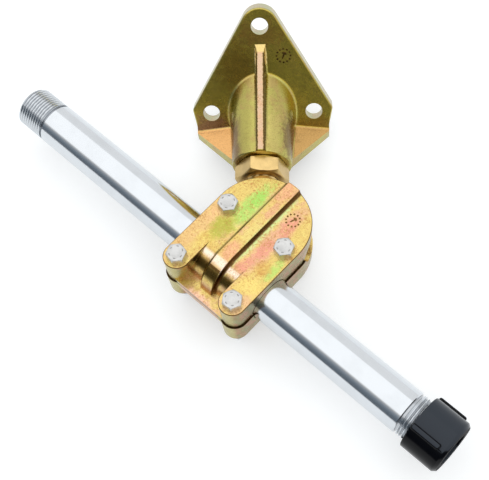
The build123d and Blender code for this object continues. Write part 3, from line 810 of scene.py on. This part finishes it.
def rib_mesh():
    """The bracket's cast rib: sections across it, carried from the boss's front up to the flange.

    Half a section: a flat crest, a quarter ellipse, a leaning flank and a hollow quarter circle that
    runs out on the boss, whose height there is sqrt(radius^2 - s^2), or on the flange's face.
    Lengths are in millimetres, along from the boss's start and up from its axis.
    """
    crest_height, crest_slope = 18.5, 15.67 / 59.35
    boss_radius, boss_draft = 17.0, radians(3.4)
    half_flat, shoulder_width, shoulder_drop = 1.4, 0.9, 0.8
    foot_radius, sunk = 1.9, 0.12
    along = np.concatenate([
        [-0.1, 0.0, 0.15, 0.4], np.linspace(1.0, 58.0, 150), np.linspace(58.3, 59.85, 12),
    ])
    # the crest line turns up a little at the flange and is rounded off at its start
    crest = crest_height + along * crest_slope + 0.25 * np.clip((along - 56.5) / 3.2, 0, 1.2) ** 2
    nose = np.clip(1 - (along + 0.1) / 0.7, 0, 1)
    crest = crest - 0.6 * (1 - np.sqrt(np.clip(1 - nose**2, 0, 1)))
    boss = boss_radius + along * tan(boss_draft)
    face = (along - (FLANGE_REACH - BOSS_START) / MM) / tan(FLANGE_LEAN)
    free = np.clip(crest - np.maximum(boss, face), 0.02, None)
    # the flat is wider at both ends, and its edge wavers as a casting's does
    flare = 0.9 * np.clip((along - 54) / 6, 0, 1) ** 2 + 0.4 * np.clip((5 - along) / 5, 0, 1) ** 2
    waves = ((0.06, 3.9, 0), (0.05, 7.1, 1), (0.04, 1.7, 2))
    flat = half_flat + flare + sum(size * np.sin(along * rate + phase) for size, rate, phase in waves)
    edge, foot = np.minimum(shoulder_drop, 0.45 * free), np.minimum(foot_radius, 0.5 * free)
    turn = np.linspace(0, pi / 2, 9)
    shoulder = flat[:, None] + shoulder_width * np.sin(turn)
    shoulder_height = (crest - edge)[:, None] + edge[:, None] * np.cos(turn)
    root = flat + shoulder_width + 0.05 * free
    hollow = root[:, None] + foot[:, None] * (1 - np.cos(turn))
    ground = np.maximum(np.sqrt(boss[:, None] ** 2 - hollow**2), face[:, None]) - sunk
    hollow_height = ground + foot[:, None] * (1 - np.sin(turn))
    s_half = joined(shoulder, hollow)
    z_half = joined(shoulder_height, hollow_height)
    aside = np.hstack([s_half, -s_half[:, ::-1]])[:, :, None] * MM
    height = np.hstack([z_half, z_half[:, ::-1]])[:, :, None] * MM
    line = BALL_AT + BOSS_DIR * (BOSS_START + along * MM)[:, None, None]
    return capped_mesh("cast_rib", line + SIDE_DIR * aside + UP * height)


def spokes(turns, first, second):
    """Directions at some turns from first towards second, and the directions square to them."""
    turns = turns[:, None]
    outward = first * np.cos(turns) + second * np.sin(turns)
    return outward, second * np.cos(turns) - first * np.sin(turns)


def cast_ring(name, centre, first, second, normal, radius, material, body):
    """A cast date ring: twelve raised dots on a circle, and a raised arrow inside it."""
    outward, _ = spokes(full_turn(12), first, second)
    dot = (radius * 0.15, radius * 0.15, 0.22 * MM)
    dots = beads(f"{name}_cast_dots", centre + radius * outward, first, second, normal, dot)
    add_piece(dots, body, material)
    # the arrow: a long shaft and the two short strokes of its head
    lines, squares = spokes(np.radians([70.0, 25.0, 115.0]), first, second)
    tip = centre + lines[0] * radius * 0.55
    centres = np.array([centre, tip - lines[1] * radius * 0.22, tip - lines[2] * radius * 0.22])
    stretch = np.array([[1.0], [0.42], [0.42]])
    bar = (radius * 0.56, radius * 0.13, 0.24 * MM)
    arrow = beads(f"{name}_cast_arrow", centres, lines * stretch, squares, normal, bar)
    add_piece(arrow, body, material)


class BRACKET_OT_stud(Operator):
    """Turns the ball stud and cuts its lock nut"""

    bl_idname = "bracket.stud"
    bl_label = "Ball stud and lock nut"

    def execute(self, context):
        s = context.scene.bracket_stud
        skin = {"rough": 0.24, "clouding": 6.0, "grain": 0.5, "bump": 0.12}
        colour = tuple(s.colour)
        plated = steel("Plated steel", BALL_AT, colour, toned(colour, 0.86), **skin)
        add_piece(stud_mesh(s), "stud", plated, stands_for="ball_stud")
        lighter, darker = toned(colour, 1.04), toned(colour, 0.90)
        # the lock nut: a slightly lighter tone, with painted shade on the flats that don't face up
        toned_finish = steel("Plated lock nut", BALL_AT, lighter, darker, side=0.78, **skin)
        add_piece(lock_nut_mesh(s), "bracket", toned_finish, stands_for="lock_nut")
        return {"FINISHED"}


def stud_mesh(s):
    """The ball stud: a ball of radius R at R (-cos t, sin t), a neck, a cone and a threaded shank."""
    joint = (s.ball**2 - s.neck**2) ** 0.5
    chamfer, depth, waist = 1.5 * MM, 1.3 * MM, s.neck - 0.1 * MM
    t = np.linspace(radians(4), pi - atan2(s.neck, joint), 40)
    profile = list(zip(-s.ball * np.cos(t), s.ball * np.sin(t)))
    profile += [(joint + 0.4 * MM, waist), (joint + 1.2 * MM, waist), (s.neck_end, s.neck)]
    profile += [(x, s.shank) for x in np.linspace(s.thread_start, s.shank_end - chamfer, 190)]
    profile += [(s.shank_end, s.shank - chamfer)]
    angles = full_turn(96)
    along, radius = spread(profile, angles.size)
    cut = thread_groove(along, angles, s.pitch, depth, s.thread_start, s.shank_end)
    threaded = along >= s.thread_start - 1e-9
    radius = np.where(threaded, np.maximum(radius - cut, s.shank - chamfer), radius)
    return capped_mesh("turned_ball_stud", turned(radius, along, angles, BALL_AT, BOSS_DIR, SIDE_DIR))


def nut_bore(length, hole, sink):
    """Rows of a nut's bore from its far face back to the near one, countersunk at both."""
    return [(length, hole + sink, 0), (length - sink, hole, 0), (sink, hole, 0), (0, hole + sink, 0)]


def lock_nut_mesh(s):
    """The lock nut: a hexagon chamfered at both faces, bored through, its hole countersunk."""
    far = corner_chamfer(s.nut_flats, s.nut_face, s.nut_length)
    near = [(s.nut_length - x, r, h) for x, r, h in reversed(far)]
    profile = near + far + nut_bore(s.nut_length, s.shank + 0.05 * MM, 0.7 * MM)
    start = BALL_AT + BOSS_DIR * (BOSS_START - s.nut_length)
    points = hexagon_points(profile, s.nut_flats, LOCK_NUT_TURN, start, BOSS_DIR, SIDE_DIR)
    return ring_mesh("cut_lock_nut", turned(*points))


class BRACKET_OT_fasteners(Operator):
    """Makes the clamp's four bolts, the marks on their heads, and their nuts"""

    bl_idname = "bracket.fasteners"
    bl_label = "Clamp bolts and nuts"

    def execute(self, context):
        s = context.scene.bracket_fastener
        colour = tuple(s.colour)
        stainless = steel(
            "Stainless fastener", CLAMP_AT, colour, toned(colour, 0.9),
            rough=0.30, clouding=4.0, grain=0.6, bump=0.2,
        )
        shaded = steel(
            "Head mark", CLAMP_AT, (0.30, 0.29, 0.28), (0.38, 0.37, 0.36),
            rough=0.40, clouding=3.0, grain=0.5, bump=0.2,
        )
        for k, (x, y, head_turn, nut_turn) in enumerate(BOLTS, 1):
            place = CLAMP_AT + ALONG * x + ACROSS * y
            seat = place + UP * CLAMP_TOP
            bolt = bolt_mesh(s, f"formed_bolt_{k}", seat, head_turn)
            add_piece(bolt, "clamp", stainless, stands_for=f"clamp_bolt_{k}")
            ticks = tick_mesh(s, f"bolt_ticks_{k}", seat + UP * s.head, head_turn)
            add_piece(ticks, "clamp", shaded)
            nut = nut_mesh(s, f"formed_nut_{k}", place + UP * CLAMP_FOOT, nut_turn)
            add_piece(nut, "clamp", stainless, stands_for=f"clamp_nut_{k}")
        return {"FINISHED"}


def bolt_mesh(s, name, seat, turn):
    """A hexagon bolt from its threaded tip up to its chamfered head with a shallow dish."""
    tip = -(CLAMP_TOP - CLAMP_FOOT + s.nut + s.past)
    thread_top = tip + s.past + s.nut + 2 * MM
    bevel, round_off = 0.6 * MM, 0.1 * MM
    pitch, depth = 1 * MM, 0.58 * MM
    core = s.radius - bevel
    profile = [(tip, core, 0), (tip + round_off, core + round_off, 0)]
    profile += [(x, s.radius, 0) for x in np.linspace(tip + bevel, thread_top, 110)]
    profile += [(-0.2 * MM, s.radius, 0), (0, s.radius + round_off, 0), (0, s.flats, 1)]
    profile += corner_chamfer(s.flats, s.flats * FACE_SHARE, s.head)
    dish = ((0, 3.2), (0.12, 2.9), (0.16, 1.0))
    profile += [(s.head - down * MM, out * MM, 0) for down, out in dish]
    radius, along, angles, *rest = hexagon_points(profile, s.flats, turn, seat, UP, ALONG)
    cut = thread_groove(along, angles, pitch, depth, tip + 0.3 * MM, thread_top)
    radius = np.where(along < thread_top, np.maximum(radius - cut, core), radius)
    return capped_mesh(name, turned(radius, along, angles, *rest))


def tick_mesh(s, name, centre, turn):
    """Six short raised bars round a bolt head's top."""
    lines, squares = spokes(np.arange(6) * pi / 3 + radians(turn + 12), ALONG, ACROSS)
    bar = (0.28 * MM, 0.80 * MM, 0.16 * MM)
    return beads(name, centre + lines * s.flats * 0.37, lines, squares, UP, bar)


def nut_mesh(s, name, seat, turn):
    """A hexagon nut hanging under the clamp, bored through, its free face chamfered."""
    profile = [(0, s.flats, 1)] + corner_chamfer(s.flats, s.flats * FACE_SHARE, s.nut)
    profile += nut_bore(s.nut, s.radius + 0.05 * MM, 0.4 * MM)
    return ring_mesh(name, turned(*hexagon_points(profile, s.flats, turn, seat, -UP, ALONG)))


class BRACKET_OT_tube(Operator):
    """Turns the steering tube with its two threaded ends"""

    bl_idname = "bracket.tube"
    bl_label = "Steering tube"

    def execute(self, context):
        s = context.scene.bracket_tube
        add_piece(
            tube_mesh(s), "tube", polished_steel(s, 0.12), stands_for="steering_tube"
        )
        return {"FINISHED"}


def tube_mesh(s):
    """The tube as one closed surface of revolution with helical threads.

    The profile runs along the outside from left to right and back through the bore. On the threaded
    lengths the radius is the crest radius less the thread's groove.
    """
    chamfer, edge = 1.0 * MM, 0.5 * MM
    left_end = s.left_shoulder - s.thread_length
    right_end = s.right_shoulder + s.thread_length
    left_relief = s.left_shoulder - s.relief_length
    right_relief = s.right_shoulder + s.relief_length
    count = int(16 * s.thread_length / s.pitch)
    profile = [(left_end, s.thread_radius - chamfer)]
    profile += [(x, s.thread_radius) for x in np.linspace(left_end + chamfer, left_relief, count)]
    profile += [
        (left_relief, s.relief_radius), (s.left_shoulder, s.relief_radius),
        (s.left_shoulder, s.radius - edge), (s.left_shoulder + edge, s.radius),
        (s.right_shoulder - edge, s.radius), (s.right_shoulder, s.radius - edge),
        (s.right_shoulder, s.relief_radius), (right_relief, s.relief_radius),
    ]
    profile += [(x, s.thread_radius) for x in np.linspace(right_relief, right_end - chamfer, count)]
    profile += [
        (right_end, s.thread_radius - chamfer), (right_end, s.bore + edge), (right_end - edge, s.bore),
        (left_end + edge, s.bore), (left_end, s.bore + edge),
    ]
    angles = full_turn(s.steps)
    along, radius = spread(profile, s.steps)
    threaded = np.isclose(radius, s.thread_radius)
    for start, end, part in ((left_end, left_relief, along < 0), (right_relief, right_end, along > 0)):
        cut = thread_groove(along, angles, s.pitch, s.thread_depth, start, end)
        radius = np.where(threaded & part, radius - cut, radius)
    return ring_mesh("threaded_tube", turned(radius, along, angles, CLAMP_AT, ALONG, UP))


class BRACKET_OT_seal_nut(Operator):
    """Moulds the black seal nut with its grip ribs, and the wiper ring inside it"""

    bl_idname = "bracket.seal_nut"
    bl_label = "Seal nut and wiper"

    def execute(self, context):
        s = context.scene.bracket_nut
        # the second colour of each finish is painted light where it faces up
        plastic = moulded("Black plastic", tuple(s.colour), tuple(s.crown), 0.12, 0.13)
        add_piece(seal_nut_mesh(s), "end_nut", plastic, stands_for="seal_nut")
        rubber = moulded("Wiper rubber", (0.02, 0.02, 0.02), (0.03, 0.03, 0.03), 0.55, 0.3)
        add_piece(wiper_mesh(), "wiper", rubber, stands_for="rod_wiper")
        return {"FINISHED"}


def seal_nut_mesh(s):
    """The seal nut: a turned cup whose outside swells into three rounded grip ribs.

    Outside radius = body + (rib radius - body) * sqrt(1 - |t|^5 - |w|^24), where t is the distance
    from a rib's middle line over its half width and w the distance from its middle over its half
    length, each 1 at the rib's edge.
    """
    end, edge, round_off, fine = s.length, 0.6 * MM, 0.35 * MM, 0.18 * MM
    shoulder, inside = end - s.end_chamfer, end - s.floor
    start = 0.3 * MM
    rib_end = start + s.rib_length
    # rows along the ribs, close together at both ends
    close = np.array([0.02, 0.08, 0.2, 0.4, 0.7, 1.1, 1.8]) * MM
    middle = np.linspace(start + 2.5 * MM, rib_end - 2.5 * MM, 10)
    rib_rows = np.concatenate([start + close, middle, rib_end - close[::-1]])
    rows = [(0.0, s.radius - edge), (fine, s.radius - fine), (edge, s.radius)]
    rows += [(x, s.radius) for x in rib_rows if x > edge + 1e-6]
    rows += [
        (rib_end + 0.1 * MM, s.radius), (shoulder, s.radius),
        (shoulder + round_off, s.radius - round_off * 0.45),
        (end - round_off, s.end_radius + round_off * 0.6),
        (end - 0.08 * MM, s.end_radius + 0.02 * MM), (end, s.end_radius - 0.25 * MM),
        (end, s.mouth + 0.15 * MM), (end - 0.15 * MM, s.mouth),
        (inside, s.mouth), (inside, s.bore), (1.0 * MM, s.bore), (0.0, s.bore + 0.7 * MM),
    ]
    # columns of a third of the way round, close together over a rib
    half, third = s.rib_width / 2, 2 * pi / 3
    near_rib = np.array([0, 0.3, 0.55, 0.75, 0.88, 0.95, 0.985, 1.0, 1.06, 1.25]) * half / s.radius
    near_rib = np.concatenate([-near_rib[:0:-1], near_rib])
    between = np.linspace(near_rib[-1], third - near_rib[-1], 30)[1:-1]
    sector = np.concatenate([near_rib, between])
    angles = (np.arange(3)[:, None] * third + sector).ravel() + s.rib_turn
    off = np.mod(np.tile(sector, 3) + third / 2, third) - third / 2
    along, radius = spread(rows, angles.size)
    t = np.abs(off) * s.radius / half
    w = np.abs(along - (start + rib_end) / 2) / (s.rib_length / 2)
    swell = np.sqrt(np.clip(1 - t**5 - w**24, 0, 1))
    outer = (radius >= s.radius - edge) & (along < shoulder)
    radius = radius + np.where(outer, swell * (s.rib_radius - s.radius), 0)
    origin = CLAMP_AT + ALONG * s.near
    return ring_mesh("moulded_seal_nut", turned(radius, along, angles, origin, ALONG, UP))


def wiper_mesh():
    """The wiper ring: a rounded square section with a lip, turned round the tube's axis."""
    profile = np.array([
        (0.0, 11.9), (0.2, 12.1), (3.0, 12.1), (3.2, 11.9), (3.2, 9.9), (2.2, 9.4),
        (3.1, 8.5), (2.9, 8.3), (2.4, 8.3), (0.4, 8.9), (0.0, 9.3),
    ]) * MM
    angles = full_turn(72)
    along, radius = spread(profile, angles.size)
    origin = CLAMP_AT + ALONG * WIPER_START
    return ring_mesh("lipped_wiper", turned(radius, along, angles, origin, ALONG, UP))


class BRACKET_OT_stage(Operator):
    """Sets up the floor, the studio light and the camera"""

    bl_idname = "bracket.stage"
    bl_label = "Stage"

    def execute(self, context):
        s = context.scene.bracket_stage
        add_camera(context, s)
        add_floor(s)
        add_lights(context, s)
        context.scene.view_settings.view_transform = "Standard"
        return {"FINISHED"}


def add_camera(context, s):
    """The camera stands where the photograph was taken from."""
    elevation, azimuth, roll = CAMERA_ANGLES
    back = Vector((sin(azimuth) * cos(elevation), -cos(azimuth) * cos(elevation), sin(elevation)))
    level = Vector((cos(azimuth), sin(azimuth), 0.0))
    level_up = back.cross(level)
    right = level * cos(roll) + level_up * sin(roll)
    up = -level * sin(roll) + level_up * cos(roll)
    data = bpy.data.cameras.new("Camera")
    data.lens = s.lens
    data.sensor_width = 36.0
    data.sensor_fit = "HORIZONTAL"
    data.clip_start = 0.01
    camera = add_object("Camera", data)
    turn = Matrix((right, up, back)).transposed().to_4x4()
    camera.matrix_world = Matrix.Translation(Vector(CLAMP_AT) + Vector(CAMERA_PLACE)) @ turn
    context.scene.camera = camera


def sees_backdrop(n):
    """Two masks: 1 on camera rays, and 1 on camera, glossy and transmission rays.

    The second is what shows the white background.
    """
    path = n.put("ShaderNodeLightPath").outputs
    either = n.maths("MAXIMUM", path["Is Camera Ray"], path["Is Glossy Ray"])
    return path["Is Camera Ray"], n.maths("MAXIMUM", either, path["Is Transmission Ray"])


def add_floor(s):
    """A large pale floor that looks white where no shadow falls; its front edge runs aslant."""
    mesh = bpy.data.meshes.new("floor")
    corners = [(-3.0, -4.68, s.floor), (3.0, 3.06, s.floor), (3.0, 4.0, s.floor), (-3.0, 4.0, s.floor)]
    mesh.from_pydata(corners, [], [(0, 1, 2, 3)])
    floor = add_object("floor", mesh)
    f = Finish("Floor")
    f.feed(f.shader, {
        "Base Color": (0.68, 0.70, 0.71, 1.0), "Roughness": 0.9, "Specular IOR Level": 0.0,
        "Emission Color": (1, 1, 1, 1), "Emission Strength": f.times(sees_backdrop(f)[1], 0.44),
    })
    mesh.materials.append(f.material)


def add_lights(context, s):
    """A wide overhead softbox in a white room with a dark panel low down in front."""
    data = bpy.data.lights.new("Softbox", "AREA")
    data.shape = "RECTANGLE"
    data.size = 2.6
    data.size_y = 2.32
    data.energy = s.softbox
    add_object("Softbox", data).location = (0.06, -0.26, 1.2)
    world = bpy.data.worlds.new("Room")
    world.use_nodes = True
    n = Nodes(world.node_tree)
    x, y, z = n.parts(n.put("ShaderNodeTexCoord").outputs["Generated"])
    toward = n.times(y, -1.0)
    # the panel's shades by the angle from straight up towards the front, in degrees
    lean = n.maths("DIVIDE", n.maths("ARCTAN2", toward, z), pi)
    shades = (
        (48, 1.0), (51, 0.75), (54, 0.5), (60, (0.33, 0.36, 0.40)), (66, (0.24, 0.28, 0.32)),
        (74, (0.17, 0.20, 0.235)), (82, (0.145, 0.17, 0.20)),
    )
    shades = n.ramp(lean, [(degrees / 180, shade) for degrees, shade in shades])
    beside = n.plus(n.times(x, 0.62), n.times(toward, 0.78))
    panel = n.mix(n.band(beside, -0.35, 0.05), (1.0, 1.0, 1.0), shades)
    camera, backdrop = sees_backdrop(n)
    room = n.mix(backdrop, (0.85, 0.85, 0.85), (1.0, 1.0, 1.0))
    room = n.mix(1.0, room, panel, blend="MULTIPLY")
    seen = n.mix(camera, room, (1.0, 1.0, 1.0))
    background = n.put("ShaderNodeBackground", {"Color": seen, "Strength": 1.0})
    n.put("ShaderNodeOutputWorld", {"Surface": background.outputs[0]})
    context.scene.world = world


class BRACKET_PT_panel(Panel):
    """Lists the bracket's pieces and their settings"""

    bl_idname = "BRACKET_PT_panel"
    bl_label = "Steering cable bracket"
    bl_space_type = "VIEW_3D"
    bl_region_type = "UI"
    bl_category = "Bracket"

    def draw(self, context):
        layout = self.layout
        for operator in OPERATORS:
            layout.operator(operator.bl_idname)
        for name, group in SETTINGS.items():
            box = layout.box()
            for prop in group.__annotations__:
                box.prop(getattr(context.scene, name), prop)


OPERATORS = (
    BRACKET_OT_castings,
    BRACKET_OT_stud,
    BRACKET_OT_fasteners,
    BRACKET_OT_tube,
    BRACKET_OT_seal_nut,
    BRACKET_OT_stage,
)
CLASSES = (*SETTINGS.values(), *OPERATORS, BRACKET_PT_panel)


def register():
    for each in CLASSES:
        bpy.utils.register_class(each)
    for name, group in SETTINGS.items():
        setattr(bpy.types.Scene, name, PointerProperty(type=group))


def unregister():
    for name in SETTINGS:
        delattr(bpy.types.Scene, name)
    for each in reversed(CLASSES):
        bpy.utils.unregister_class(each)


def main():
    """Builds every piece and the stage."""
    register()
    bpy.ops.bracket.castings()
    bpy.ops.bracket.stud()
    bpy.ops.bracket.fasteners()
    bpy.ops.bracket.tube()
    bpy.ops.bracket.seal_nut()
    bpy.ops.bracket.stage()
    bpy.context.view_layer.update()


if __name__ == "__main__":
    main()
